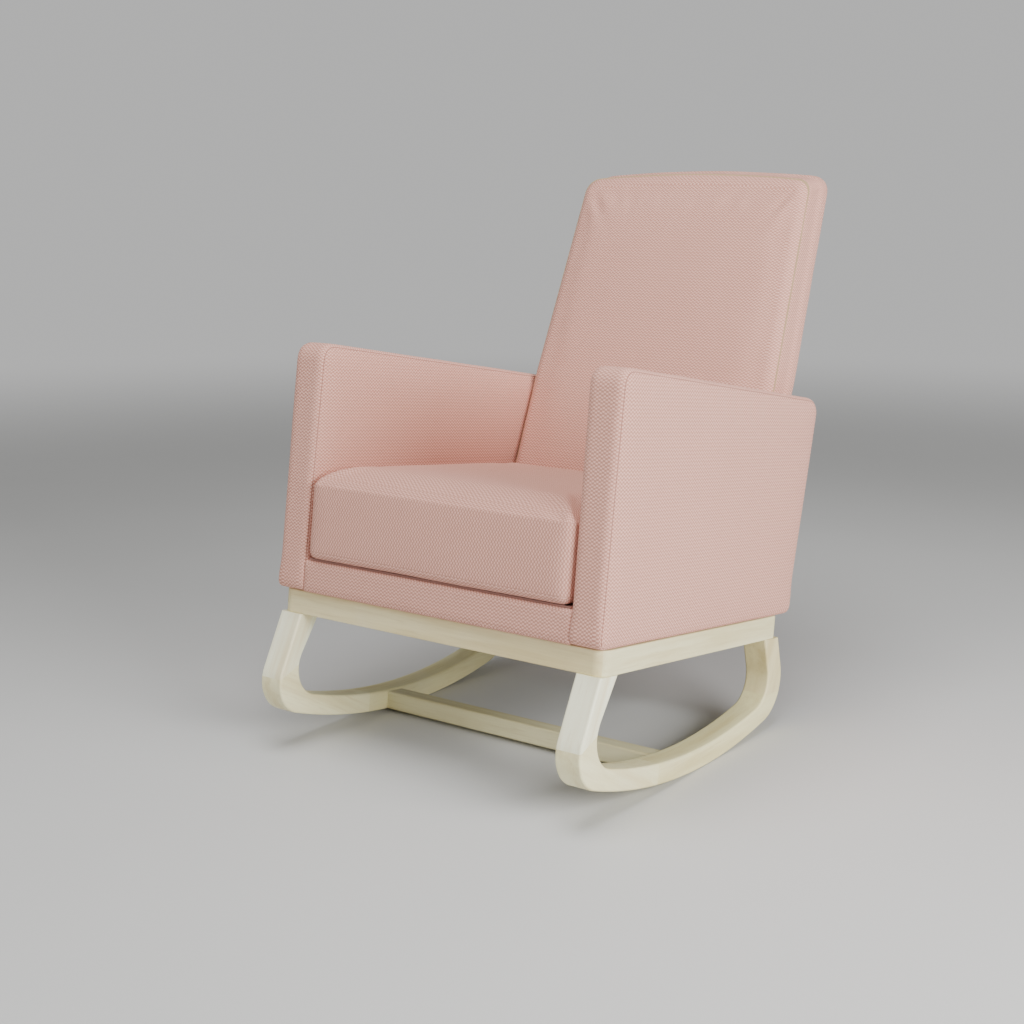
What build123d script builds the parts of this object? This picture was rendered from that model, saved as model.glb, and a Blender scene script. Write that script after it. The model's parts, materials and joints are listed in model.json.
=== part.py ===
from build123d import *
import os
from math import cos, radians, sin, tan

# Upholstered nursery rocking chair: a padded seat on a wooden plinth and two D-shaped rockers.
# World frame: +Z up, the sitter faces -Y, origin on the floor under the middle of the chair.
# Everything above the floor leans back together, so it is drawn in the SEAT frame, whose origin is
# the middle of the plinth's top front edge: X across, Y back along the seat, Z up from it.

# ---- driving dimensions, mm and degrees ----
LEAN = 7.1                  # whole chair leans back while it stands at rest
FRONT_Y = -407.4            # plinth's top front edge in the world
FRONT_Z = 278.0
BACK_RAKE = 15.5            # backrest against the seat's own upright

PLINTH_WIDTH = 662.0
PLINTH_DEPTH = 580.0
PLINTH_HEIGHT = 41.0
PLINTH_RAIL = 45.0
PLINTH_CORNER = 20.0

ROCKER_THICKNESS = 47.0
RUNNER_RADIUS = 1030.0      # curve of the face that rolls on the floor
RUNNER_DEPTH = 36.0
CONTACT_Y = -75.0           # where the runners touch the floor at rest, world
FRONT_LEG = (-4.0, 45.0)    # front leg's outer and inner edges where it meets the plinth
REAR_LEG = (586.0, 535.0)
LEG_LEAN = (0.38, 0.55)     # forward drift of the front leg's outer and inner edges per mm down
HEEL_LEAN = (0.40, 0.40)
TOE_RADIUS = (60.0, 54.0)   # outside and inside of the bend at the toe
HEEL_RADIUS = (75.0, 50.0)
WOOD_EDGE = 4.0             # rounded wooden edges
TOE_SEAM = ((-100.0, -182.0), (100.0, -74.0))
RUNNER_SEAM = 193.0
HEEL_SEAM = -142.0
STRETCHER = (244.0, 286.0, -242.0, -209.0)   # front, back, bottom, top

BODY_WIDTH = 668.0
ARM_WIDTH = 64.0
ARM_PANEL = 8.0             # padded side panels of an arm
ARM_BOXING = 15.0           # padded strip round its edge
ARM_CORNERS = ((-17.0, 4.0), (-6.0, 427.0), (667.0, 388.0), (618.0, 3.0))
ARM_ROUND = (8.0, 27.0, 30.0, 12.0)
ARM_FRAME = 38.0            # width of the posts and rails inside an arm

BODY_FLOOR = 1.5            # underside of the body above the plinth
SEAT_RAIL = 25.0
SEAT_RAIL_TOP = 50.0
FRONT_RAIL = 75.0
DECK_BOTTOM = 56.3
DECK_THICKNESS = 3.0
CUSHION_BOTTOM = 60.0
CUSHION_TOP = 193.0
CUSHION_CROWN = 22.0
CUSHION_WIDTH = 536.0
CUSHION_FRONT = -20.0
COVER = 12.0                # padded panels of the cushion

BACK_THICKNESS = 86.0
BACK_SPLIT = 43.0           # front and rear covers meet half way
BACK_COVER = 6.0
BACK_WIDTH = 536.0          # between the arms
BACK_TOP_WIDTH = 502.0
BACK_BOTTOM = 30.0          # along the backrest's face
BACK_SHOULDER = 415.0
BACK_TOP = 820.0
BACK_CROWN = 13.0
BACK_CORNER = 38.0
BACK_EDGE = 17.0
BACK_FRAME = 26.0

SIDES = {"left": -1, "right": 1}    # as seen from in front

# ---- reference planes and shared outlines ----
SEAT = Plane(
    origin=(0, FRONT_Y, FRONT_Z),
    x_dir=(1, 0, 0),
    z_dir=(0, sin(radians(LEAN)), cos(radians(LEAN))),
)
BACK_FOOT_Y = 548.0 - 202.0 * tan(radians(BACK_RAKE))
BACK_UP = SEAT.y_dir * sin(radians(BACK_RAKE)) + SEAT.z_dir * cos(radians(BACK_RAKE))
BACK_FORWARD = SEAT.z_dir * sin(radians(BACK_RAKE)) - SEAT.y_dir * cos(radians(BACK_RAKE))
BACK = Plane(
    origin=SEAT.from_local_coords((0, BACK_FOOT_Y, 0)),
    x_dir=(1, 0, 0),
    z_dir=BACK_FORWARD,
)
SEAT_UP = Axis(SEAT.origin, SEAT.z_dir)
SEAT_BACKWARD = Axis(SEAT.origin, SEAT.y_dir)
BACK_NORMAL = Axis(BACK.origin, BACK.z_dir)
ARM_INNER = BODY_WIDTH / 2 - ARM_WIDTH
PLINTH_BOTTOM = -PLINTH_HEIGHT
BACK_THROUGH = Vector(0, 1, 0)      # the backrest's top and bottom run level from front to rear
BACK_SLANT = cos(radians(LEAN + BACK_RAKE))


def level(height):
    """Plane parallel to the seat at a height above the plinth."""
    return SEAT.offset(height)


def back_layer(depth):
    """Plane at a depth behind the backrest's face, which its outline crosses without changing size."""
    return Plane(origin=BACK.origin + BACK_THROUGH * (depth / BACK_SLANT), x_dir=(1, 0, 0), z_dir=BACK_FORWARD)


def side(x):
    """Upright plane at x: its X runs back along the seat and its Y up from it."""
    return Plane(origin=SEAT.from_local_coords((x, 0, 0)), x_dir=SEAT.y_dir, z_dir=SEAT.x_dir)


def finish(piece, name):
    """Label a finished piece and write it as its own STEP file."""
    piece.part.label = name
    export_step(piece.part, f"parts/{name}.step")


def d_outline(edge):
    """Area inside a rocker's outer (edge 0) or inner (edge 1) D outline."""
    centre = SEAT.to_local_coords(Vector(0, CONTACT_Y, RUNNER_RADIUS))
    up = 20.0 - PLINTH_HEIGHT
    down = -262.0
    front_lean = LEG_LEAN[edge]
    rear_lean = HEEL_LEAN[edge]
    front_top = FRONT_LEG[edge] + front_lean * (up - PLINTH_BOTTOM)
    front_foot = FRONT_LEG[edge] + front_lean * (down - PLINTH_BOTTOM)
    rear_foot = REAR_LEG[edge] - rear_lean * (down - PLINTH_BOTTOM)
    rear_top = REAR_LEG[edge] - rear_lean * (up - PLINTH_BOTTOM)
    with BuildSketch() as area:
        with Locations((centre.Y, centre.Z)):
            Circle(RUNNER_RADIUS - edge * RUNNER_DEPTH)
        Polygon(
            (front_top, up),
            (front_foot, down),
            (rear_foot, down),
            (rear_top, up),
            align=None,
            mode=Mode.INTERSECT,
        )
        low = area.vertices().sort_by(Axis.Y)[:2].sort_by(Axis.X)
        fillet(low[0], TOE_RADIUS[edge])
        fillet(area.vertices().sort_by(Axis.X)[-1], HEEL_RADIUS[edge])
    return area.sketch


def arm_outline(inset):
    """Side view of an arm, moved in by inset."""
    with BuildSketch() as area:
        Polygon(*ARM_CORNERS, align=None)
        for corner, radius in zip(ARM_CORNERS, ARM_ROUND):
            fillet(area.vertices().sort_by_distance((corner[0], corner[1], 0))[0], radius)
        if inset:
            offset(amount=-inset, mode=Mode.REPLACE)
    return area.sketch


def back_outline(inset):
    """Front view of the backrest in the BACK plane, moved in by inset."""
    half = BACK_WIDTH / 2
    top_half = BACK_TOP_WIDTH / 2
    with BuildSketch() as area:
        with BuildLine():
            Polyline((-top_half, BACK_TOP), (-half, BACK_SHOULDER), (-half, BACK_BOTTOM),
                     (half, BACK_BOTTOM), (half, BACK_SHOULDER), (top_half, BACK_TOP))
            ThreePointArc((top_half, BACK_TOP), (0, BACK_TOP + BACK_CROWN), (-top_half, BACK_TOP))
        make_face()
        fillet(area.vertices().group_by(Axis.Y)[-1], BACK_CORNER)
        if inset:
            offset(amount=-inset, mode=Mode.REPLACE)
    return area.sketch


os.makedirs("parts", exist_ok=True)

# ---- rockers: four glued segments a side ----
ROCKER_INNER = PLINTH_WIDTH / 2 - ROCKER_THICKNESS
OUTER_D = d_outline(0)
INNER_D = d_outline(1)
SEGMENTS = {
    "front_leg": ((-100, PLINTH_BOTTOM), *TOE_SEAM, (100, PLINTH_BOTTOM)),
    "toe": (*TOE_SEAM, (RUNNER_SEAM, -120), (RUNNER_SEAM, -300), (-100, -300)),
    "runner": ((RUNNER_SEAM, HEEL_SEAM), (700, HEEL_SEAM), (700, -300), (RUNNER_SEAM, -300)),
    "heel": ((400, PLINTH_BOTTOM), (700, PLINTH_BOTTOM), (700, HEEL_SEAM), (400, HEEL_SEAM)),
}
BOLT_X = 304.0
BOLT_Y = {"front_leg": 13.0, "heel": 567.0}
BOLT_RADIUS = 4.0
BOLT_CLEARANCE = 4.5
BOLT_REACH = 34.0           # bolt's length inside a leg
INSERT_RADIUS = 6.5
INSERT_LENGTH = 24.0
DOWEL_RADIUS = 5.0
DOWEL_LENGTH = 56.0
DOWEL_SPOTS = ((255.0, -226.0), (275.0, -226.0))

for side_name, sign in SIDES.items():
    with BuildPart() as band:
        with BuildSketch(side(sign * ROCKER_INNER)):
            add(OUTER_D)
            add(INNER_D, mode=Mode.SUBTRACT)
        extrude(amount=sign * ROCKER_THICKNESS)
        fillet(band.edges().group_by(Axis.X)[0] + band.edges().group_by(Axis.X)[-1], WOOD_EDGE)
    for segment_name, region in SEGMENTS.items():
        with BuildPart() as segment:
            add(band.part)
            with BuildSketch(side(0)):
                Polygon(*region, align=None)
            extrude(amount=PLINTH_WIDTH, both=True, mode=Mode.INTERSECT)
            if segment_name in BOLT_Y:
                with BuildSketch(level(PLINTH_BOTTOM)):
                    with Locations((sign * BOLT_X, BOLT_Y[segment_name])):
                        Circle(INSERT_RADIUS)
                extrude(amount=-INSERT_LENGTH, mode=Mode.SUBTRACT)
                with BuildSketch(level(PLINTH_BOTTOM)):
                    with Locations((sign * BOLT_X, BOLT_Y[segment_name])):
                        Circle(BOLT_CLEARANCE)
                extrude(amount=-BOLT_REACH - 3, mode=Mode.SUBTRACT)
            if segment_name == "runner":
                with BuildSketch(side(sign * ROCKER_INNER)):
                    with Locations(*DOWEL_SPOTS):
                        Circle(DOWEL_RADIUS + 0.05)
                extrude(amount=sign * (DOWEL_LENGTH / 2 + 1), mode=Mode.SUBTRACT)
        finish(segment, f"rocker_{side_name}_{segment_name}")

# ---- stretcher between the runners ----
with BuildPart() as stretcher:
    with BuildSketch(side(-ROCKER_INNER)):
        with Locations(((STRETCHER[0] + STRETCHER[1]) / 2, (STRETCHER[2] + STRETCHER[3]) / 2)):
            RectangleRounded(STRETCHER[1] - STRETCHER[0], STRETCHER[3] - STRETCHER[2], WOOD_EDGE)
    extrude(amount=2 * ROCKER_INNER)
    for x in (-ROCKER_INNER, ROCKER_INNER):
        with BuildSketch(side(x)):
            with Locations(*DOWEL_SPOTS):
                Circle(DOWEL_RADIUS + 0.05)
        extrude(amount=DOWEL_LENGTH / 2 + 1, both=True, mode=Mode.SUBTRACT)
finish(stretcher, "rocker_stretcher")

with BuildPart() as stretcher_dowels:
    for x in (-ROCKER_INNER, ROCKER_INNER):
        with BuildSketch(side(x)):
            with Locations(*DOWEL_SPOTS):
                Circle(DOWEL_RADIUS)
        extrude(amount=DOWEL_LENGTH / 2, both=True)
finish(stretcher_dowels, "stretcher_dowels")

# ---- plinth: four mitred rails, corner blocks and the rocker fixings ----
half_width = PLINTH_WIDTH / 2
BOLT_SPOTS = [(sign * BOLT_X, y) for sign in (-1, 1) for y in BOLT_Y.values()]
HEAD_RADIUS = 7.5
HEAD_RECESS = 9.0
RECESS_RADIUS = 9.0
with BuildPart() as plinth:
    with BuildSketch(level(PLINTH_BOTTOM)):
        with Locations((0, PLINTH_DEPTH / 2)):
            RectangleRounded(PLINTH_WIDTH, PLINTH_DEPTH, PLINTH_CORNER)
    extrude(amount=PLINTH_HEIGHT)
    plinth_faces = plinth.faces().sort_by(SEAT_UP)
    fillet(plinth_faces[0].edges() + plinth_faces[-1].edges(), WOOD_EDGE / 2)
    with BuildSketch(level(PLINTH_BOTTOM)):
        with Locations((0, PLINTH_DEPTH / 2)):
            Rectangle(PLINTH_WIDTH - 2 * PLINTH_RAIL, PLINTH_DEPTH - 2 * PLINTH_RAIL)
    extrude(amount=PLINTH_HEIGHT, mode=Mode.SUBTRACT)
    with BuildSketch(SEAT):
        with Locations(*BOLT_SPOTS):
            Circle(BOLT_CLEARANCE)
    extrude(amount=-PLINTH_HEIGHT, mode=Mode.SUBTRACT)
    with BuildSketch(SEAT):
        with Locations(*BOLT_SPOTS):
            Circle(RECESS_RADIUS)
    extrude(amount=-HEAD_RECESS, mode=Mode.SUBTRACT)

margin = 20.0
near = -margin
far = PLINTH_DEPTH + margin
wide = half_width + margin
inner_x = half_width - PLINTH_RAIL
inner_far = PLINTH_DEPTH - PLINTH_RAIL
RAIL_REGIONS = {
    "front": ((-wide, near), (wide, near), (inner_x, PLINTH_RAIL), (-inner_x, PLINTH_RAIL)),
    "rear": ((-wide, far), (wide, far), (inner_x, inner_far), (-inner_x, inner_far)),
    "left": ((-wide, near), (-inner_x, PLINTH_RAIL), (-inner_x, inner_far), (-wide, far)),
    "right": ((wide, near), (inner_x, PLINTH_RAIL), (inner_x, inner_far), (wide, far)),
}
for rail_name, region in RAIL_REGIONS.items():
    with BuildPart() as rail:
        add(plinth.part)
        with BuildSketch(SEAT):
            Polygon(*region, align=None)
        extrude(amount=PLINTH_HEIGHT + 1, both=True, mode=Mode.INTERSECT)
    finish(rail, f"plinth_{rail_name}_rail")

BLOCK_LEG = 70.0
BLOCK_HEIGHT = 30.0
with BuildPart() as corner_blocks:
    for x_sign in (-1, 1):
        for corner_y, y_sign in ((PLINTH_RAIL, 1), (inner_far, -1)):
            corner_x = x_sign * inner_x
            with BuildSketch(level(-BLOCK_HEIGHT)):
                Polygon(
                    (corner_x, corner_y),
                    (corner_x - x_sign * BLOCK_LEG, corner_y),
                    (corner_x, corner_y + y_sign * BLOCK_LEG),
                    align=None,
                )
            extrude(amount=BLOCK_HEIGHT)
finish(corner_blocks, "plinth_corner_blocks")

with BuildPart() as rocker_bolts:
    with BuildSketch(level(-HEAD_RECESS)):
        with Locations(*BOLT_SPOTS):
            Circle(BOLT_RADIUS)
    extrude(amount=-(PLINTH_HEIGHT - HEAD_RECESS + BOLT_REACH))
    with BuildSketch(level(-HEAD_RECESS)):
        with Locations(*BOLT_SPOTS):
            Circle(HEAD_RADIUS)
    extrude(amount=6)
    with BuildSketch(level(-HEAD_RECESS + 6)):
        with Locations(*BOLT_SPOTS):
            RegularPolygon(3.4, 6)
    extrude(amount=-3.5, mode=Mode.SUBTRACT)
finish(rocker_bolts, "rocker_bolts")

with BuildPart() as rocker_inserts:
    with BuildSketch(level(PLINTH_BOTTOM)):
        with Locations(*BOLT_SPOTS):
            Circle(INSERT_RADIUS - 0.05)
            Circle(BOLT_RADIUS + 0.05, mode=Mode.SUBTRACT)
    extrude(amount=-INSERT_LENGTH + 1)
finish(rocker_inserts, "rocker_threaded_inserts")

# ---- underside and seat frame ----
with BuildPart() as dust_cover:
    with BuildSketch(SEAT):
        with Locations((0, PLINTH_DEPTH / 2)):
            RectangleRounded(PLINTH_WIDTH - 40, PLINTH_DEPTH - 40, 8)
    extrude(amount=BODY_FLOOR)
finish(dust_cover, "dust_cover")

SEAT_HALF = ARM_INNER - 1.0
RAIL_HEIGHT = SEAT_RAIL_TOP - BODY_FLOOR
REAR_RAIL_BACK = 488.0
FRONT_RAIL_FACE = 8.0
BLOCK = (Align.CENTER, Align.MIN, Align.MIN)
ARM_BOLT_Y = (110.0, 260.0, 410.0)
ARM_BOLT_Z = 32.0
ARM_BOLT_HEAD = 4.0
inner_half = SEAT_HALF - SEAT_RAIL

with BuildPart(SEAT) as seat_front_rail:
    with Locations((0, FRONT_RAIL_FACE, BODY_FLOOR)):
        Box(2 * inner_half, FRONT_RAIL, RAIL_HEIGHT, align=BLOCK)
finish(seat_front_rail, "seat_front_rail")

with BuildPart(SEAT) as seat_rear_rail:
    with Locations((0, REAR_RAIL_BACK - SEAT_RAIL, BODY_FLOOR)):
        Box(2 * inner_half, SEAT_RAIL, RAIL_HEIGHT, align=BLOCK)
finish(seat_rear_rail, "seat_rear_rail")

for side_name, sign in SIDES.items():
    with BuildPart(SEAT) as seat_side_rail:
        with Locations((sign * (SEAT_HALF - SEAT_RAIL / 2), FRONT_RAIL_FACE, BODY_FLOOR)):
            Box(SEAT_RAIL, REAR_RAIL_BACK - FRONT_RAIL_FACE, RAIL_HEIGHT, align=BLOCK)
        with BuildSketch(side(sign * inner_half)):
            with Locations(*[(y, ARM_BOLT_Z) for y in ARM_BOLT_Y]):
                Circle(BOLT_CLEARANCE)
        extrude(amount=sign * SEAT_RAIL, mode=Mode.SUBTRACT)
    finish(seat_side_rail, f"seat_{side_name}_rail")

# Sinuous springs lie across the front and rear rails, held by a clip at each end.
WIRE_RADIUS = 2.0
WIRE_Z = SEAT_RAIL_TOP + WIRE_RADIUS
SPRING_FRONT = 22.0
SPRING_REAR = 484.0
SPRING_START = 96.0
SPRING_PITCH = 24.0
SPRING_RUNS = 15
SPRING_HALF = 22.0
SPRING_X = (-184.0, -92.0, 0.0, 92.0, 184.0)
CLIP = (18.0, 12.0, 5.6)

zigzag = [(0.0, SPRING_FRONT), (0.0, SPRING_START)]
for run in range(SPRING_RUNS):
    turn = SPRING_HALF if run % 2 == 0 else -SPRING_HALF
    y = SPRING_START + run * SPRING_PITCH
    zigzag.append((turn, y))
    zigzag.append((turn, y + SPRING_PITCH))
last_y = SPRING_START + SPRING_RUNS * SPRING_PITCH
zigzag.append((0.0, last_y))
zigzag.append((0.0, SPRING_REAR))
with BuildPart() as spring:
    with BuildLine(level(WIRE_Z)) as wire_path:
        FilletPolyline(*zigzag, radius=9)
    with BuildSketch(Plane(origin=wire_path.line @ 0, z_dir=wire_path.line % 0)):
        Circle(WIRE_RADIUS)
    sweep()
with BuildPart() as seat_springs:
    with Locations(*[(x, 0, 0) for x in SPRING_X]):
        add(spring.part)
finish(seat_springs, "seat_springs")

with BuildPart(SEAT) as spring_clips:
    for x in SPRING_X:
        for y in (SPRING_FRONT + 8, SPRING_REAR - 14):
            with Locations((x, y, SEAT_RAIL_TOP)):
                Box(*CLIP, align=BLOCK)
    for x in SPRING_X:
        with Locations((x, 0, SEAT_RAIL_TOP)):
            Box(2 * WIRE_RADIUS + 0.2, 600, 2 * WIRE_RADIUS + 0.1, align=BLOCK, mode=Mode.SUBTRACT)
finish(spring_clips, "spring_clips")

with BuildPart(SEAT) as seat_deck:
    with Locations((0, -7, DECK_BOTTOM)):
        Box(2 * SEAT_HALF, 505, DECK_THICKNESS, align=BLOCK)
finish(seat_deck, "seat_deck")

FRONT_PANEL_FACE = -14.0
with BuildPart(SEAT) as front_panel:
    with Locations((0, FRONT_PANEL_FACE, 3)):
        Box(2 * SEAT_HALF, FRONT_RAIL_FACE - FRONT_PANEL_FACE, DECK_BOTTOM - 3.2, align=BLOCK)
    fillet(front_panel.faces().sort_by(SEAT_BACKWARD)[0].edges().filter_by(Axis.X), 6)
finish(front_panel, "front_panel")

# ---- arms: wooden frame, padded edge strip and two padded side panels ----
arm_outer_x = BODY_WIDTH / 2
BOXING_INNER = ARM_INNER + ARM_PANEL
BOXING_OUTER = arm_outer_x - ARM_PANEL
FRAME_WIDTH = BOXING_OUTER - BOXING_INNER - 1.0
PANEL_EDGE = 6.0
ARM_AREA = arm_outline(0)
ARM_LINING = arm_outline(ARM_BOXING)
FRAME_OUTSIDE = arm_outline(ARM_BOXING + 0.3)
FRAME_INSIDE = arm_outline(ARM_BOXING + ARM_FRAME)
BACK_BOLT_UP = (104.0, 300.0)
BACK_BOLT_DEPTH = 31.0
POST_SPLIT = 70.0
ARM_FRAME_REGIONS = {
    "front_post": ((-60, -20), (POST_SPLIT - 26, -20), (POST_SPLIT - 12, 460), (-60, 460)),
    "rear_post": ((505, -20), (700, -20), (700, 460), (612, 460)),
    "top_rail": ((POST_SPLIT - 12, 460), (POST_SPLIT - 19, 200), (554, 200), (612, 460)),
    "bottom_rail": ((POST_SPLIT - 26, -20), (POST_SPLIT - 19, 200), (554, 200), (505, -20)),
}


def back_point(up, depth):
    """Side-plane place of a point in the backrest, up its face and behind it."""
    point = SEAT.to_local_coords(BACK.from_local_coords((0, up, -depth)))
    return (point.Y, point.Z)


ARM_BOLT_SPOTS = [(y, ARM_BOLT_Z) for y in ARM_BOLT_Y]
BACK_BOLT_SPOTS = [back_point(up, BACK_BOLT_DEPTH) for up in BACK_BOLT_UP]

for side_name, sign in SIDES.items():
    with BuildPart() as inner_panel:
        with BuildSketch(side(sign * ARM_INNER)):
            add(ARM_AREA)
        extrude(amount=sign * ARM_PANEL)
        inner_face = inner_panel.faces().filter_by(Axis.X).sort_by(Axis.X)[0 if sign > 0 else -1]
        fillet(inner_face.edges(), PANEL_EDGE)
        with BuildSketch(side(sign * ARM_INNER)):
            with Locations(*ARM_BOLT_SPOTS, *BACK_BOLT_SPOTS):
                Circle(BOLT_CLEARANCE)
        extrude(amount=sign * ARM_PANEL, mode=Mode.SUBTRACT)
    finish(inner_panel, f"arm_{side_name}_inner_panel")

    with BuildPart() as outer_panel:
        with BuildSketch(side(sign * BOXING_OUTER)):
            add(ARM_AREA)
        extrude(amount=sign * ARM_PANEL)
        outer_face = outer_panel.faces().filter_by(Axis.X).sort_by(Axis.X)[-1 if sign > 0 else 0]
        fillet(outer_face.edges(), PANEL_EDGE)
    finish(outer_panel, f"arm_{side_name}_outer_panel")

    with BuildPart() as boxing:
        with BuildSketch(side(sign * BOXING_INNER)):
            add(ARM_AREA)
            add(ARM_LINING, mode=Mode.SUBTRACT)
        extrude(amount=sign * (BOXING_OUTER - BOXING_INNER))
    finish(boxing, f"arm_{side_name}_edge_strip")

    for frame_name, region in ARM_FRAME_REGIONS.items():
        with BuildPart() as frame_piece:
            with BuildSketch(side(sign * (BOXING_INNER + 0.5))):
                add(FRAME_OUTSIDE)
                if frame_name != "rear_post":
                    add(FRAME_INSIDE, mode=Mode.SUBTRACT)
                Polygon(*region, align=None, mode=Mode.INTERSECT)
            extrude(amount=sign * FRAME_WIDTH)
            spots = {"bottom_rail": ARM_BOLT_SPOTS, "rear_post": BACK_BOLT_SPOTS}.get(frame_name)
            if spots:
                with BuildSketch(side(sign * BOXING_INNER)):
                    with Locations(*spots):
                        Circle(BOLT_CLEARANCE)
                extrude(amount=sign * (FRAME_WIDTH + 1), mode=Mode.SUBTRACT)
        finish(frame_piece, f"arm_{side_name}_{frame_name}")

BOLT_TIP = BOXING_OUTER - 3.0
with BuildPart() as arm_bolts:
    for sign in SIDES.values():
        head_x = sign * (inner_half - ARM_BOLT_HEAD)
        with BuildSketch(side(head_x)):
            with Locations(*ARM_BOLT_SPOTS):
                Circle(HEAD_RADIUS)
        extrude(amount=sign * ARM_BOLT_HEAD)
        with BuildSketch(side(head_x)):
            with Locations(*ARM_BOLT_SPOTS):
                Circle(BOLT_RADIUS)
        extrude(amount=sign * (BOLT_TIP - inner_half + ARM_BOLT_HEAD))
finish(arm_bolts, "arm_bolts")

# ---- backrest: frame, webbing and foam between a front and a rear cover ----
BACK_AREA = back_outline(0)
BACK_LINING = back_outline(BACK_COVER)
BACK_FRAME_OUTSIDE = back_outline(BACK_COVER + 0.3)
BACK_FRAME_INSIDE = back_outline(BACK_COVER + BACK_FRAME)
FOAM_THICKNESS = 6.0
FRAME_FRONT = BACK_COVER + FOAM_THICKNESS + 2.0
FRAME_DEPTH = 34.0
for cover_name, front_depth, rear_depth in (("front", 0.0, BACK_SPLIT), ("rear", BACK_SPLIT, BACK_THICKNESS)):
    with BuildPart() as cover:
        with BuildSketch(BACK):
            add(BACK_AREA)
        extrude(amount=BACK_THICKNESS / BACK_SLANT, dir=BACK_THROUGH)
        cover_faces = cover.faces().sort_by(BACK_NORMAL)
        fillet(cover_faces[0].edges() + cover_faces[-1].edges(), BACK_EDGE)
        with BuildSketch(back_layer(BACK_COVER)):
            add(BACK_LINING)
        extrude(amount=(BACK_THICKNESS - 2 * BACK_COVER) / BACK_SLANT, dir=BACK_THROUGH, mode=Mode.SUBTRACT)
        with BuildSketch(BACK.offset(-front_depth)):
            Rectangle(2 * BACK_WIDTH, 3 * BACK_TOP)
        extrude(amount=-(rear_depth - front_depth), mode=Mode.INTERSECT)
        if cover_name == "front":
            with BuildSketch(side(-BACK_WIDTH)):
                with Locations(*BACK_BOLT_SPOTS):
                    Circle(BOLT_CLEARANCE)
            extrude(amount=2 * BACK_WIDTH, mode=Mode.SUBTRACT)
    finish(cover, f"back_{cover_name}_cover")

with BuildPart() as back_foam:
    with BuildSketch(back_layer(BACK_COVER)):
        add(BACK_FRAME_OUTSIDE)
    extrude(amount=FOAM_THICKNESS / BACK_SLANT, dir=BACK_THROUGH)
finish(back_foam, "back_foam")

RAIL_SPLIT_LOW = BACK_BOTTOM + BACK_COVER + BACK_FRAME
RAIL_SPLIT_HIGH = BACK_TOP - BACK_COVER - BACK_FRAME - 8
LUMBAR = (300.0, 345.0)
wide = BACK_WIDTH
BACK_FRAME_REGIONS = {
    "back_top_rail": ((-wide, RAIL_SPLIT_HIGH), (wide, RAIL_SPLIT_HIGH), (wide, 2 * wide), (-wide, 2 * wide)),
    "back_bottom_rail": ((-wide, 0), (wide, 0), (wide, RAIL_SPLIT_LOW), (-wide, RAIL_SPLIT_LOW)),
    "back_left_stile": ((-wide, RAIL_SPLIT_LOW), (0, RAIL_SPLIT_LOW), (0, RAIL_SPLIT_HIGH),
                        (-wide, RAIL_SPLIT_HIGH)),
    "back_right_stile": ((wide, RAIL_SPLIT_LOW), (0, RAIL_SPLIT_LOW), (0, RAIL_SPLIT_HIGH),
                         (wide, RAIL_SPLIT_HIGH)),
}
for frame_name, region in BACK_FRAME_REGIONS.items():
    with BuildPart() as frame_piece:
        with BuildSketch(back_layer(FRAME_FRONT)):
            add(BACK_FRAME_OUTSIDE)
            add(BACK_FRAME_INSIDE, mode=Mode.SUBTRACT)
            Polygon(*region, align=None, mode=Mode.INTERSECT)
        extrude(amount=FRAME_DEPTH / BACK_SLANT, dir=BACK_THROUGH)
        if frame_name.endswith("stile"):
            with BuildSketch(side(-BACK_WIDTH)):
                with Locations(*BACK_BOLT_SPOTS):
                    Circle(BOLT_CLEARANCE)
            extrude(amount=2 * BACK_WIDTH, mode=Mode.SUBTRACT)
    finish(frame_piece, frame_name)

with BuildPart() as lumbar_rail:
    with BuildSketch(back_layer(FRAME_FRONT)):
        add(BACK_FRAME_INSIDE)
        with Locations((0, (LUMBAR[0] + LUMBAR[1]) / 2)):
            Rectangle(2 * BACK_WIDTH, LUMBAR[1] - LUMBAR[0], mode=Mode.INTERSECT)
    extrude(amount=20 / BACK_SLANT, dir=BACK_THROUGH)
finish(lumbar_rail, "back_lumbar_rail")

STRAP = 50.0
with BuildPart() as back_webbing:
    with BuildSketch(back_layer(FRAME_FRONT - 1.5)):
        with Locations((-150, 400), (-50, 400), (50, 400), (150, 400)):
            Rectangle(STRAP, 690)
        with Locations((0, 180), (0, 480), (0, 630)):
            Rectangle(462, STRAP)
    extrude(amount=-1.2)
finish(back_webbing, "back_webbing")

BACK_BOLT_END = BACK_WIDTH / 2 - BACK_COVER - BACK_FRAME + 2
with BuildPart() as back_bolts:
    for sign in SIDES.values():
        with BuildSketch(side(sign * BACK_BOLT_END)):
            with Locations(*BACK_BOLT_SPOTS):
                Circle(BOLT_RADIUS)
        extrude(amount=sign * (BOLT_TIP - BACK_BOLT_END))
finish(back_bolts, "back_bolts")

# ---- loose seat cushion: foam core in a boxed cover with a zip behind ----
CUSHION_REAR_LOW = 505.0
CUSHION_REAR_TOP = 542.0
CUSHION_REAR_SLOPE = (CUSHION_REAR_TOP - CUSHION_REAR_LOW) / (CUSHION_TOP - CUSHION_BOTTOM)
CUSHION_REAR_CROWN = CUSHION_REAR_TOP + CUSHION_REAR_SLOPE * CUSHION_CROWN
CUSHION_CORNER = 16.0
CUSHION_MIDDLE = (CUSHION_FRONT + CUSHION_REAR_TOP) / 2
half = CUSHION_WIDTH / 2
CROWN_RADIUS = (half ** 2 + (CUSHION_REAR_TOP - CUSHION_MIDDLE) ** 2) / (2 * CUSHION_CROWN)


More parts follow.
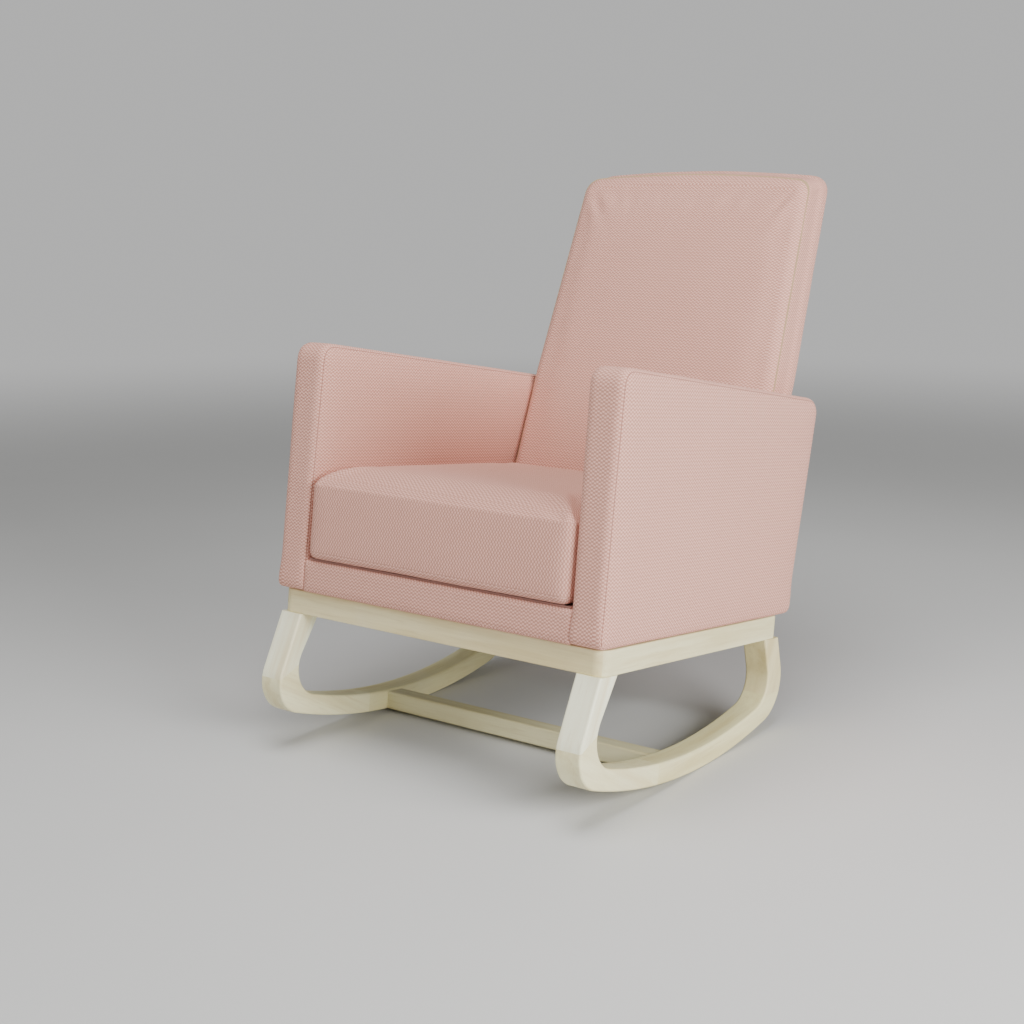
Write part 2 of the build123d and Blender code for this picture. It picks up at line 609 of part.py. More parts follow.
def cushion_side(inset):
    """Side view of the cushion up to the top of its crown, moved in by inset."""
    with BuildSketch() as area:
        Polygon(
            (CUSHION_FRONT, CUSHION_BOTTOM),
            (CUSHION_REAR_LOW, CUSHION_BOTTOM),
            (CUSHION_REAR_CROWN, CUSHION_TOP + CUSHION_CROWN),
            (CUSHION_FRONT, CUSHION_TOP + CUSHION_CROWN),
            align=None,
        )
        if inset:
            offset(amount=-inset, mode=Mode.REPLACE)
    return area.sketch


CUSHION_SIDE = cushion_side(0)
CUSHION_LINING = cushion_side(COVER)
CUSHION_CORE = cushion_side(COVER + 0.3)
with BuildPart(SEAT) as cushion:
    with BuildSketch(side(-half)):
        add(CUSHION_SIDE)
    extrude(amount=CUSHION_WIDTH)
    upright_edges = cushion.edges().sort_by(SortBy.LENGTH)[:4]
    fillet(upright_edges, CUSHION_CORNER)
    with Locations((0, CUSHION_MIDDLE, CUSHION_TOP + CUSHION_CROWN - CROWN_RADIUS)):
        Sphere(CROWN_RADIUS, mode=Mode.INTERSECT)

PANEL_LEVELS = {
    "cushion_bottom_panel": (CUSHION_BOTTOM - 1, CUSHION_BOTTOM + COVER),
    "cushion_boxing": (CUSHION_BOTTOM + COVER, CUSHION_TOP - COVER),
    "cushion_top_panel": (CUSHION_TOP - COVER, CUSHION_TOP + 2 * CUSHION_CROWN),
}
ZIP_LENGTH = 460.0
ZIP_GROOVE = (24.0, 6.0)
ZIP_MIDDLE = (CUSHION_BOTTOM + CUSHION_TOP) / 2
ZIP_PLANE = Plane(
    origin=SEAT.from_local_coords((0, (CUSHION_REAR_LOW + CUSHION_REAR_TOP) / 2, ZIP_MIDDLE)),
    x_dir=(-1, 0, 0),
    z_dir=BACK_FORWARD * -1,
)
for panel_name, (low, high) in PANEL_LEVELS.items():
    with BuildPart() as panel:
        add(cushion.part)
        with BuildSketch(level(low)):
            Rectangle(2 * CUSHION_WIDTH, 4 * PLINTH_DEPTH)
        extrude(amount=high - low, mode=Mode.INTERSECT)
        if panel_name == "cushion_boxing":
            with BuildSketch(side(-half + COVER)):
                add(CUSHION_LINING)
            extrude(amount=CUSHION_WIDTH - 2 * COVER, mode=Mode.SUBTRACT)
            with BuildSketch(ZIP_PLANE.offset(2)):
                Rectangle(ZIP_LENGTH, ZIP_GROOVE[0])
            extrude(amount=-ZIP_GROOVE[1] - 2, mode=Mode.SUBTRACT)
    finish(panel, panel_name)

with BuildPart() as cushion_core:
    with BuildSketch(side(-half + COVER + 0.3)):
        add(CUSHION_CORE)
    extrude(amount=CUSHION_WIDTH - 2 * COVER - 0.6)
    with BuildSketch(level(CUSHION_BOTTOM + COVER)):
        Rectangle(2 * CUSHION_WIDTH, 4 * PLINTH_DEPTH)
    extrude(amount=CUSHION_TOP - CUSHION_BOTTOM - 2 * COVER, mode=Mode.INTERSECT)
finish(cushion_core, "cushion_foam_core")

CHAIN_WIDTH = 5.0
with BuildPart() as zip_tape:
    with BuildSketch(ZIP_PLANE.offset(-ZIP_GROOVE[1])):
        Rectangle(ZIP_LENGTH, ZIP_GROOVE[0])
    extrude(amount=1.2)
    with BuildSketch(ZIP_PLANE.offset(-ZIP_GROOVE[1] + 1.2)):
        Rectangle(ZIP_LENGTH - 10, CHAIN_WIDTH)
    extrude(amount=1.2)
finish(zip_tape, "zip_tape")

SLIDER_X = 215.0
SLIDER = (11.0, 10.0, 1.6)
PULL = (6.0, 9.5, 0.9)
with BuildPart(ZIP_PLANE.offset(-ZIP_GROOVE[1] + 2.7)) as zip_slider:
    with Locations((SLIDER_X, 0, 0)):
        Box(*SLIDER, align=(Align.CENTER, Align.CENTER, Align.MIN))
    fillet(zip_slider.edges().filter_by(Axis(SEAT.origin, ZIP_PLANE.z_dir)), 2)
finish(zip_slider, "zip_slider")

with BuildPart(ZIP_PLANE.offset(-ZIP_GROOVE[1] + 2.7 + SLIDER[2])) as zip_pull:
    with Locations((SLIDER_X, 0, 0)):
        Box(*PULL, align=(Align.CENTER, Align.MAX, Align.MIN))
    with BuildSketch(ZIP_PLANE.offset(-ZIP_GROOVE[1] + 2.7 + SLIDER[2])):
        with Locations((SLIDER_X, -PULL[1] + 3)):
            Circle(1.6)
    extrude(amount=PULL[2], mode=Mode.SUBTRACT)
finish(zip_pull, "zip_pull")
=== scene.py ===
import json
import math

import bmesh
import bpy
import numpy as np
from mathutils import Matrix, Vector
from mathutils.geometry import convex_hull_2d, delaunay_2d_cdt
from mathutils.kdtree import KDTree


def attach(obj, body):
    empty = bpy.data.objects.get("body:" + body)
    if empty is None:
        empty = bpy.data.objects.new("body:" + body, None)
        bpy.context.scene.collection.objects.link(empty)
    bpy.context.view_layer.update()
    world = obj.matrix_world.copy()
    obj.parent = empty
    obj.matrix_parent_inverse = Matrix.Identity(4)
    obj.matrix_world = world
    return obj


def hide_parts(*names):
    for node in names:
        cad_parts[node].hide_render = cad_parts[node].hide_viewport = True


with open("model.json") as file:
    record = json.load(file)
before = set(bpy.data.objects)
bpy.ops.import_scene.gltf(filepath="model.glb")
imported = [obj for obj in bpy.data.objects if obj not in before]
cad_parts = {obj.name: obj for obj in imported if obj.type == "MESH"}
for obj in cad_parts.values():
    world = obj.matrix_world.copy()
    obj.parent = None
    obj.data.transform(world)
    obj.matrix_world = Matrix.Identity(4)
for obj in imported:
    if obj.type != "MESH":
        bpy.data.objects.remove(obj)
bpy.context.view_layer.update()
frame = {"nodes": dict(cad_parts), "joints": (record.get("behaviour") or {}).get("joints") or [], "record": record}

# Upholstered rocking chair. Everything above the floor leans back together, so soft parts are made in
# the seat's own axes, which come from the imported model, and are turned into the row frame at the end.

MM = 0.001
OUTLINE_STEP = 4 * MM       # between points along a pad's outline
BAND_STEP = 5 * MM          # between rings round a pad's edge
CAP_STEP = 9 * MM           # between points on a pad's faces
EDGE_STEPS = 12             # parts in each quarter round of an edge


# ---------------------------------------------------------------- axes and outlines

class Axes:
    """Three unit vectors in the row frame; local points are (a, b, c) along them."""

    def __init__(self, first, second, third):
        self.matrix = np.array([list(first), list(second), list(third)], float)

    def local(self, points):
        return np.asarray(points, float) @ self.matrix.T

    def world(self, points):
        return np.asarray(points, float) @ self.matrix


def node_points(*names):
    """Corner points of CAD nodes in the row frame."""
    clouds = [[v.co[:] for v in frame["nodes"][name].data.vertices] for name in names]
    return np.concatenate([np.array(cloud, float) for cloud in clouds])


X = Vector((1, 0, 0))
SEAT_UP = Vector(frame["joints"][0]["axis"]).normalized()
SEAT_BACK = SEAT_UP.cross(X)
ARM_AXES = Axes(SEAT_BACK, SEAT_UP, X)          # side view of the chair, depth along X
PLAN_AXES = Axes(X, SEAT_BACK, SEAT_UP)         # seen from above, depth up
FRONT_AXES = Axes(X, SEAT_UP, -SEAT_BACK)       # seen from in front, depth forwards


def back_axes():
    """Axes of the backrest: across, up its face, and out of its face."""
    foam = node_points("back_foam")
    _, _, directions = np.linalg.svd(foam - foam.mean(0), full_matrices=False)
    out = Vector(directions[2])
    if out.y > 0:
        out = -out
    return Axes(X, out.cross(X), out)


BACK_AXES = back_axes()


def resample(points, step):
    """Even points along a closed outline."""
    closed = np.vstack([points, points[:1]])
    lengths = np.linalg.norm(np.diff(closed, axis=0), axis=1)
    along = np.concatenate([[0], np.cumsum(lengths)])
    count = int(round(along[-1] / step))
    at = np.linspace(0, along[-1], count, endpoint=False)
    return np.column_stack([np.interp(at, along, closed[:, k]) for k in range(points.shape[1])])


def smooth_ring(points, passes):
    """Evens out values round a closed ring."""
    for _ in range(passes):
        points = 0.5 * points + 0.25 * (np.roll(points, 1, 0) + np.roll(points, -1, 0))
    return points


def hull_outline(points, passes):
    """Smooth closed outline round 2-D points, anticlockwise."""
    flat = [Vector(p) for p in points]
    ring = np.array([points[i] for i in convex_hull_2d(flat)], float)
    area = np.sum(ring[:, 0] * np.roll(ring[:, 1], -1) - ring[:, 1] * np.roll(ring[:, 0], -1))
    if area < 0:
        ring = ring[::-1]
    return smooth_ring(resample(ring, OUTLINE_STEP), passes)


def rounded_rectangle(low, high, radius, step):
    """Anticlockwise outline of a rectangle with round corners."""
    left, right = low[0] + radius, high[0] - radius
    bottom, top = low[1] + radius, high[1] - radius
    points = []
    for x, y, start in ((right, bottom, -90), (right, top, 0), (left, top, 90), (left, bottom, 180)):
        for degree in range(0, 91, 10):
            angle = math.radians(start + degree)
            points.append((x + radius * math.cos(angle), y + radius * math.sin(angle)))
    return smooth_ring(resample(np.array(points), step), 1)


def inward(outline):
    """Unit normals of a closed anticlockwise outline, pointing in."""
    tangent = np.roll(outline, -1, 0) - np.roll(outline, 1, 0)
    tangent /= np.linalg.norm(tangent, axis=1)[:, None]
    return np.column_stack([-tangent[:, 1], tangent[:, 0]])


# ---------------------------------------------------------------- mesh building

def make_object(name, verts, faces, uvs=None, seam=None):
    """A closed smooth object, with its weave coordinates and how much painted shade each point gets in a seam
    groove.
    """
    mesh = bpy.data.meshes.new(name)
    mesh.from_pydata([tuple(v) for v in verts], [], faces)
    if uvs is not None:
        layer = mesh.uv_layers.new(name="weave")
        flat = np.array([corner for face in uvs for corner in face], np.float32).ravel()
        layer.data.foreach_set("uv", flat)
    if seam is not None:
        mesh.attributes.new("seam", "FLOAT", "POINT").data.foreach_set("value", seam)
    obj = bpy.data.objects.new(name, mesh)
    bpy.context.scene.collection.objects.link(obj)
    outwards(mesh)
    mesh.polygons.foreach_set("use_smooth", [True] * len(mesh.polygons))
    mesh.update()
    return obj


def outwards(mesh):
    """Turns every face of a closed mesh outwards."""
    work = bmesh.new()
    work.from_mesh(mesh)
    bmesh.ops.recalc_face_normals(work, faces=work.faces)
    work.to_mesh(mesh)
    work.free()


def coordinates(mesh):
    """The mesh's points, one row each."""
    co = np.zeros(len(mesh.vertices) * 3)
    mesh.vertices.foreach_get("co", co)
    return co.reshape(-1, 3)


def distances(rows):
    """Distance of each row along its own line."""
    return np.concatenate([[0], np.cumsum(np.linalg.norm(np.diff(rows, axis=0), axis=1))])


def round_profile(low, high, low_edge, high_edge):
    """(inset, depth) line from the low face round both soft edges to the high face, and its distances."""
    turns = [math.radians(90 / EDGE_STEPS * k) for k in range(EDGE_STEPS + 1)]
    rows = [(low_edge * (1 - math.sin(a)), low + low_edge * (1 - math.cos(a))) for a in turns]
    turns = [math.radians(90 - 90 / EDGE_STEPS * k) for k in range(EDGE_STEPS + 1)]
    rows += [(high_edge * (1 - math.sin(a)), high - high_edge * (1 - math.cos(a))) for a in turns]
    rows = np.array(rows)
    return rows, distances(rows)


CLOSEST_ROWS = 0.2 * MM


def stations(total, seams, step, fine=None, reach=0.0):
    """Distances along the profile: about a step apart, with one on every seam."""
    stops = [0.0, *sorted(seams), total]
    places = []
    for start, end in zip(stops, stops[1:]):
        parts = max(1, int(round((end - start) / step)))
        places.extend(start + (end - start) * k / parts for k in range(parts))
    places.append(total)
    if fine:
        for seam in seams:
            places.extend(seam + fine * k for k in range(-int(reach / fine), int(reach / fine) + 1))
        places = [p for p in places if 0 <= p <= total]
    places = np.unique(np.round(places, 6))
    return places[np.concatenate([[True], np.diff(places) > CLOSEST_ROWS])]


def respace(grid, at, wanted):
    """Smooth interpolation of rows at new distances along the profile."""
    slope = np.gradient(grid, at, axis=0)
    index = np.clip(np.searchsorted(at, wanted, side="right") - 1, 0, len(at) - 2)
    width = (at[index + 1] - at[index])[:, None, None]
    t = ((wanted - at[index])[:, None, None]) / width
    a, b = grid[index], grid[index + 1]
    da, db = slope[index] * width, slope[index + 1] * width
    return ((2 * t**3 - 3 * t**2 + 1) * a + (t**3 - 2 * t**2 + t) * da
            + (3 * t**2 - 2 * t**3) * b + (t**3 - t**2) * db)


def inside(points, ring):
    """Which points lie inside a closed ring."""
    found = np.zeros(len(points), bool)
    for (x0, y0), (x1, y1) in zip(ring, np.roll(ring, -1, 0)):
        crosses = (y0 > points[:, 1]) != (y1 > points[:, 1])
        with np.errstate(divide="ignore", invalid="ignore"):
            found ^= crosses & (points[:, 0] < (x1 - x0) * (points[:, 1] - y0) / (y1 - y0) + x0)
    return found


def nearest(points, ring):
    """Distance from each point to the closest point of a ring."""
    tree = KDTree(len(ring))
    for k, (x, y) in enumerate(ring):
        tree.insert((x, y, 0), k)
    tree.balance()
    return np.array([tree.find((x, y, 0))[2] for x, y in points])


class Cap:
    """Triangles over a flat face, on an even lattice of points inside its rim."""

    RIM_CLEARANCE = 0.6         # least distance from the rim, as a share of the lattice step
    SAME_POINT = 1e-7

    def __init__(self, rim, step):
        low, high = rim.min(0), rim.max(0)
        xs = np.arange(low[0] + step / 2, high[0], step)
        ys = np.arange(low[1] + step / 2, high[1], step)
        lattice = np.array([(x + (row % 2) * step / 2, y) for row, y in enumerate(ys) for x in xs])
        lattice = lattice[inside(lattice, rim)]
        lattice = lattice[nearest(lattice, rim) > self.RIM_CLEARANCE * step]
        verts = [Vector(p) for p in np.vstack([rim, lattice])]
        border = [list(range(len(rim)))]
        _, _, faces, origin, _, _ = delaunay_2d_cdt(verts, [], border, 1, self.SAME_POINT)
        if min(len(sources) for sources in origin) == 0:
            raise ValueError("the rim of a padded face crosses itself")
        self.faces = [[origin[corner][0] for corner in face] for face in faces]
        self.points = lattice
        self.distance = nearest(lattice, rim)
        self.rim_count = len(rim)

    def joined(self, rim_start, first):
        """Faces numbered for a mesh whose rim starts at rim_start and whose lattice starts at first."""
        count = self.rim_count
        return [[rim_start + c if c < count else first + c - count for c in face] for face in self.faces]


def ripple(points, wavelength, seed):
    """Smooth even-sized undulation between about -1 and 1, the same every run."""
    waves, overlap = 6, 3.0
    rng = np.random.default_rng(seed)
    total = np.zeros(len(points))
    for _ in range(waves):
        direction = rng.normal(size=3)
        direction /= np.linalg.norm(direction)
        size = wavelength * rng.uniform(0.7, 1.5)
        total += np.sin(points @ direction * (2 * math.pi / size) + rng.uniform(0, 6.28))
    return total / overlap


SETTLE_FRAMES = 20
CLOTH_QUALITY = 5
CLOTH_MASS = 0.3


def inflate(verts, faces, sewn, pressure, cap):
    """Cloth simulation: pressure swells the cover by up to cap while the sewn points stay."""
    obj = make_object("cloth_trial", verts, faces)
    group = obj.vertex_groups.new(name="sewn")
    group.add([int(k) for k in np.flatnonzero(sewn)], 1.0, "REPLACE")
    cloth = obj.modifiers.new("cloth", "CLOTH")
    cloth.settings.quality = CLOTH_QUALITY
    cloth.settings.mass = CLOTH_MASS
    cloth.settings.use_pressure = True
    cloth.settings.uniform_pressure_force = pressure
    cloth.settings.vertex_group_mass = "sewn"
    cloth.settings.effector_weights.gravity = 0
    cloth.collision_settings.use_collision = False
    cloth.point_cache.frame_start, cloth.point_cache.frame_end = 1, SETTLE_FRAMES
    scene = bpy.context.scene
    for frame_number in range(1, SETTLE_FRAMES + 1):
        scene.frame_set(frame_number)
    settled = obj.evaluated_get(bpy.context.evaluated_depsgraph_get())
    moved = coordinates(settled.data) - verts
    scene.frame_set(1)
    bpy.data.objects.remove(obj)
    length = np.linalg.norm(moved, axis=1)[:, None] + 1e-9
    return verts + moved * (cap * np.tanh(length / cap) / length)


GROOVE_STEP = 0.6 * MM           # fine rings beside a seam
GROOVE_REACH = 4.2 * MM
GROOVE_WIDTH = 1.0 * MM
DIP_DEPTH = 0.4 * MM             # wide shallow dip on both sides of the groove
DIP_WIDTH = 6 * MM
SEAM_SHADE_DEPTH = 1.2 * MM      # groove depth at which a seam's painted shade is full


def edge_grid(outline, scale, profile, span, edges, stops):
    """Rings of points round the padded edge, from the low face to the high face."""
    rows, at = profile
    low, high = span
    normals = inward(outline)
    grid = []
    for place in stops:
        inset, depth = np.interp(place, at, rows[:, 0]), np.interp(place, at, rows[:, 1])
        moved = np.full(len(outline), depth)
        if depth < low + edges[0]:
            moved = low + (depth - low) * scale
        elif depth > high - edges[1]:
            moved = high - (high - depth) * scale
        ring = outline + normals * (inset * scale)[:, None]
        grid.append(np.column_stack([ring, moved]))
    return np.array(grid)


def pad_faces(n_rings, count, caps):
    """Faces of a pad in three parts: the band of rings, the low cap and the high cap."""
    band = [[r * count + i, r * count + (i + 1) % count, (r + 1) * count + (i + 1) % count,
             (r + 1) * count + i] for r in range(n_rings - 1) for i in range(count)]
    first = n_rings * count
    low_cap = caps[0].joined(0, first)
    return band, low_cap, caps[1].joined(first - count, first + len(caps[0].points))


def sewn_points(local, rings, seams, count, fix):
    """Which points the filling can't move: those on a seam, and those that fix picks."""
    sewn = np.zeros(len(local), bool)
    for seam in seams:
        row = int(np.argmin(np.abs(rings - seam)))
        sewn[row * count:(row + 1) * count] = True
    return sewn if fix is None else sewn | fix(local)


def groove_depths(rings, seams, seam_depth):
    """How far each ring is pulled in by the seams near it."""
    groove = np.zeros(len(rings))
    for seam in seams:
        gap = np.abs(rings - seam)
        groove += (seam_depth * np.exp(-(gap / GROOVE_WIDTH) ** 2)
                   + DIP_DEPTH * np.exp(-(gap / DIP_WIDTH) ** 2))
    return groove


def pad(name, axes, outline, span, edges, seams, dome, seed, shape=None, edge_scale=None, fix=None,
        profile=None, swell=None, seam_depth=1.2 * MM, uneven=0.4 * MM, cap_step=CAP_STEP):
    """A padded cover between two faces, sewn along lines round its edge.

    span is the depth of the two faces, edges the radii of their soft edges, seams the distances along
    the edge profile, dome how each face rises with distance from its rim, shape a last bend of the local
    points, edge_scale the share of the edge radius at each outline point, fix which points of the start
    shape the filling can't move, and swell the pressure and the most movement of the cloth simulation,
    which is left out when swell is None."""
    profile = profile or round_profile(*span, *edges)
    scale = np.ones(len(outline)) if edge_scale is None else edge_scale
    total, count = profile[1][-1], len(outline)
    coarse = stations(total, seams, BAND_STEP)
    grid = edge_grid(outline, scale, profile, span, edges, coarse)
    caps = [Cap(grid[0][:, :2], cap_step), Cap(grid[-1][:, :2], cap_step)]
    tops = [np.column_stack([cap.points, depth + rise(cap.distance)])
            for cap, depth, rise in zip(caps, span, dome)]
    local = np.vstack([grid.reshape(-1, 3), *tops])
    if shape:
        local = shape(local)
    if swell:
        faces = [face for part in pad_faces(len(coarse), count, caps) for face in part]
        sewn = sewn_points(local, coarse, seams, count, fix)
        local = axes.local(inflate(axes.world(local), faces, sewn, *swell))
    band_end = len(coarse) * count
    band, tops = local[:band_end].reshape(len(coarse), count, 3), local[band_end:]

    fine = stations(total, seams, BAND_STEP, GROOVE_STEP, GROOVE_REACH)
    local = np.vstack([respace(band, coarse, fine).reshape(-1, 3), tops])
    groove = np.repeat(groove_depths(fine, seams, seam_depth), count)
    parts = pad_faces(len(fine), count, caps)
    uvs = band_uvs(fine, outline, (profile[0][0, 0], profile[0][-1, 0]), total, seams)
    for part in parts[1:]:
        uvs += [[tuple(local[c][:2]) for c in face] for face in part]
    # painted shade along the seams, growing with the depth of each groove
    shading = np.zeros(len(local))
    shading[:len(groove)] = np.clip(groove / SEAM_SHADE_DEPTH, 0, 1)
    obj = make_object(name, axes.world(local), [f for part in parts for f in part], uvs, shading)
    sink(obj, groove, uneven, seed)
    return obj


def band_uvs(rings, outline, edges, total, seams):
    """Weave coordinates of the edge band: panel cloth beyond the seams, strip cloth between them."""
    first_cut = min(seams) if seams else -1.0
    last_cut = max(seams) if seams else total + 1
    tolerance = 1e-9
    normals, count = inward(outline), len(outline)
    along = distances(np.vstack([outline, outline[:1]]))
    uvs = []
    for a, b in zip(rings, rings[1:]):
        panel = None
        if b <= first_cut + tolerance:
            panel = [edges[0] - a, edges[0] - b]
        elif a >= last_cut - tolerance:
            panel = [edges[1] - (total - a), edges[1] - (total - b)]
        for i in range(count):
            j = (i + 1) % count
            if panel:
                corners = ((i, panel[0]), (j, panel[0]), (j, panel[1]), (i, panel[1]))
                uvs.append([tuple(outline[k] + normals[k] * off) for k, off in corners])
            else:
                s0, s1 = along[i], along[i + 1]
                uvs.append([(a, s0), (a, s1), (b, s1), (b, s0)])
    return uvs


UNEVEN_LENGTH = 0.16             # usual distance between the padding's high places


def sink(obj, groove, uneven, seed):
    """Pulls the cover in along its seams and makes the padding slightly uneven."""
    mesh = obj.data
    co = coordinates(mesh)
    normal = np.zeros(len(mesh.vertices) * 3)
    mesh.vertices.foreach_get("normal", normal)
    depth = uneven * (1 - ripple(co, UNEVEN_LENGTH, seed)) * 0.5
    depth[:len(groove)] += groove
    mesh.vertices.foreach_set("co", (co - normal.reshape(-1, 3) * depth[:, None]).ravel())
    mesh.update()


# ---------------------------------------------------------------- materials

class Graph:
    """Short names for building a node material."""

    def __init__(self, name):
        self.material = bpy.data.materials.new(name)
        self.material.use_nodes = True
        self.tree = self.material.node_tree
        self.shader = self.tree.nodes["Principled BSDF"]

    def node(self, kind, **values):
        made = self.tree.nodes.new(kind)
        for key, value in values.items():
            setattr(made, key, value)
        return made

    def link(self, source, target):
        self.tree.links.new(source, target)

    def feed(self, socket, value):
        if isinstance(value, bpy.types.NodeSocket):
            self.link(value, socket)
        else:
            socket.default_value = value

    def math(self, operation, a, b=None):
        made = self.node("ShaderNodeMath", operation=operation)
        for socket, value in zip(made.inputs, (a, b)):
            if value is not None:
                self.feed(socket, value)
        return made.outputs[0]

    def times(self, a, b):
        return self.math("MULTIPLY", a, b)

    def mix(self, factor, a, b):
        made = self.node("ShaderNodeMix", data_type="RGBA", blend_type="MIX")
        for index, value in ((0, factor), (6, a), (7, b)):
            self.feed(made.inputs[index], (*value, 1) if isinstance(value, tuple) else value)
        return made.outputs[2]

    def dot(self, vector, direction):
        made = self.node("ShaderNodeVectorMath", operation="DOT_PRODUCT")
        self.link(vector, made.inputs[0])
        made.inputs[1].default_value = direction
        return made.outputs["Value"]

    def place(self):
        """Position on the piece, in metres."""
        return self.node("ShaderNodeTexCoord").outputs["Object"]

    def split(self, vector):
        made = self.node("ShaderNodeSeparateXYZ")
        self.link(vector, made.inputs[0])
        return made.outputs

    def noise(self, vector, scale, detail=3.0, roughness=0.55):
        made = self.node("ShaderNodeTexNoise")
        self.feed(made.inputs["Vector"], vector)
        made.inputs["Scale"].default_value = scale
        made.inputs["Detail"].default_value = detail
        made.inputs["Roughness"].default_value = roughness
        return made.outputs["Fac"]

    def ramp(self, value, low, high, low_out=0.0, high_out=1.0):
        made = self.node("ShaderNodeMapRange", interpolation_type="SMOOTHSTEP")
        self.feed(made.inputs[0], value)
        for socket, number in zip(made.inputs[1:5], (low, high, low_out, high_out)):
            socket.default_value = number
        return made.outputs[0]

    def bump(self, height, strength, distance):
        made = self.node("ShaderNodeBump")
        made.inputs["Strength"].default_value = strength
        made.inputs["Distance"].default_value = distance
        self.feed(made.inputs["Height"], height)
        return made.outputs[0]

    def finish(self, color, roughness, normal=None, **sockets):
        """Connects the main sockets and sets others to plain values; returns the material."""
        self.feed(self.shader.inputs["Base Color"], color)
        self.feed(self.shader.inputs["Roughness"], roughness)
        if normal is not None:
            self.link(normal, self.shader.inputs["Normal"])
        for name, value in sockets.items():
            self.shader.inputs[name.replace("_", " ")].default_value = value
        return self.material


FABRIC_CELL = (8.0 * MM, 5.8 * MM)
YARN_PITCH = (1.2 * MM, 1.5 * MM)
FABRIC_RIDGE = ((0.84, 0.48, 0.385), (0.90, 0.53, 0.43))
FABRIC_PIT = ((0.45, 0.18, 0.13), (0.53, 0.225, 0.165))
FABRIC_FIBRE = (0.86, 0.55, 0.45)
# painted shade of the seam grooves: the cloth's own colour made darker
FABRIC_SEAM_SHADE = (0.30, 0.14, 0.11)


def honeycomb_pits(g, place, parts):
    """1 on the darker ground between the staggered cells and 0 on the cells."""
    wobble = g.times(g.math("SUBTRACT", g.noise(place, scale=60.0, detail=2.0), 0.5), 1.3)
    u = g.times(parts[0], 2 * math.pi / FABRIC_CELL[0])
    kink = g.times(g.math("ABSOLUTE", g.math("SINE", g.times(u, 0.5))), 0.9)
    v = g.math("ADD", g.times(parts[1], 2 * math.pi / FABRIC_CELL[1]), kink)
    cells = g.times(g.math("COSINE", g.math("ADD", u, wobble)),
                    g.math("COSINE", g.math("ADD", v, wobble)))
    return g.ramp(cells, low=-0.35, high=0.6, low_out=1.0, high_out=0.0)


def honeycomb_fabric():
    """Dusty pink upholstery cloth woven in small staggered pale cells on a darker ground, with painted shade in
    its seam grooves.
    """
    g = Graph("pink_honeycomb_fabric")
    parts = g.split(g.node("ShaderNodeUVMap", uv_map="weave").outputs[0])
    place = g.place()
    pits = honeycomb_pits(g, place, parts)
    warp_yarn = g.times(parts[0], 2 * math.pi / YARN_PITCH[0])
    weft_yarn = g.times(parts[1], 2 * math.pi / YARN_PITCH[1])
    yarn = g.math("SINE", g.math("ADD", warp_yarn, weft_yarn))
    fibre = g.noise(place, scale=1400.0, detail=2.0, roughness=0.7)
    patch = g.noise(place, scale=9.0, detail=3.0)
    colour = g.mix(g.times(pits, 0.9), g.mix(patch, *FABRIC_RIDGE), g.mix(fibre, *FABRIC_PIT))
    colour = g.mix(g.times(fibre, 0.22), colour, FABRIC_FIBRE)
    # painted shade in the seam grooves: the cloth darkens as a groove deepens
    sewn = g.node("ShaderNodeAttribute", attribute_name="seam").outputs["Fac"]
    colour = g.mix(g.ramp(sewn, low=0.35, high=0.95, high_out=0.6), colour, FABRIC_SEAM_SHADE)
    height = g.math("ADD", g.times(pits, -1.0), g.times(yarn, 0.12))
    height = g.math("ADD", height, g.times(fibre, 0.25))
    normal = g.bump(height, strength=0.6, distance=0.8 * MM)
    rough = g.ramp(fibre, low=0.2, high=0.8, low_out=0.88, high_out=0.97)
    return g.finish(colour, rough, normal, Sheen_Weight=0.05, Sheen_Roughness=0.5,
                    Specular_IOR_Level=0.2)


GRAIN_STRETCH = (2.2, 34.0, 34.0)        # noise scale along the grain and across it
SEED_SHIFT = (3.7, 1.9, 5.3)             # moves each piece to its own place in the noise
LIMED_PATCH = (0.84, 0.81, 0.66)


def toned(tint, *shares):
    """A tint with each channel made weaker by its own share."""
    return tuple(channel * share for channel, share in zip(tint, shares))


def grain_place(g, place, grain, across, seed):
    """Noise coordinates that run slowly along the grain and fast across it."""
    third = Vector(grain).cross(Vector(across)).normalized()
    axes = (Vector(grain).normalized(), Vector(across).normalized(), third)
    join = g.node("ShaderNodeCombineXYZ")
    for socket, axis, scale in zip(join.inputs, axes, GRAIN_STRETCH):
        g.link(g.times(g.dot(place, axis), scale), socket)
    shift = g.node("ShaderNodeVectorMath", operation="ADD")
    g.link(join.outputs[0], shift.inputs[0])
    shift.inputs[1].default_value = [seed * step for step in SEED_SHIFT]
    return shift.outputs[0]


def whitewashed_wood(name, grain, across, tint, seed):
    """Pale limed hardwood with its grain along one direction."""
    g = Graph(name)
    place = g.place()
    along = grain_place(g, place, grain, across, seed)
    broad = g.noise(along, scale=1.0, detail=4.0, roughness=0.6)
    fine = g.noise(along, scale=7.0, detail=5.0, roughness=0.65)
    pores = g.noise(along, scale=26.0, detail=3.0, roughness=0.7)
    blotch = g.noise(place, scale=7.0, detail=2.0)
    pale = tuple(min(1.0, channel * 1.05) for channel in tint)
    warm, streak, pore = (toned(tint, 0.86, 0.80, 0.68), toned(tint, 0.70, 0.62, 0.48),
                          toned(tint, 0.62, 0.55, 0.44))
    colour = g.mix(g.ramp(broad, low=0.35, high=0.72), pale, warm)
    colour = g.mix(g.times(g.ramp(fine, low=0.5, high=0.78), 0.38), colour, streak)
    colour = g.mix(g.times(g.ramp(pores, low=0.58, high=0.75), 0.30), colour, pore)
    colour = g.mix(g.times(g.ramp(blotch, low=0.5, high=0.8), 0.25), colour, LIMED_PATCH)
    height = g.math("ADD", g.times(fine, -0.5), g.times(g.ramp(pores, low=0.55, high=0.75), -0.6))
    normal = g.bump(height, strength=0.22, distance=0.3 * MM)
    rough = g.ramp(fine, low=0.3, high=0.75, low_out=0.42, high_out=0.6)
    return g.finish(colour, rough, normal, Coat_Weight=0.12, Coat_Roughness=0.35)


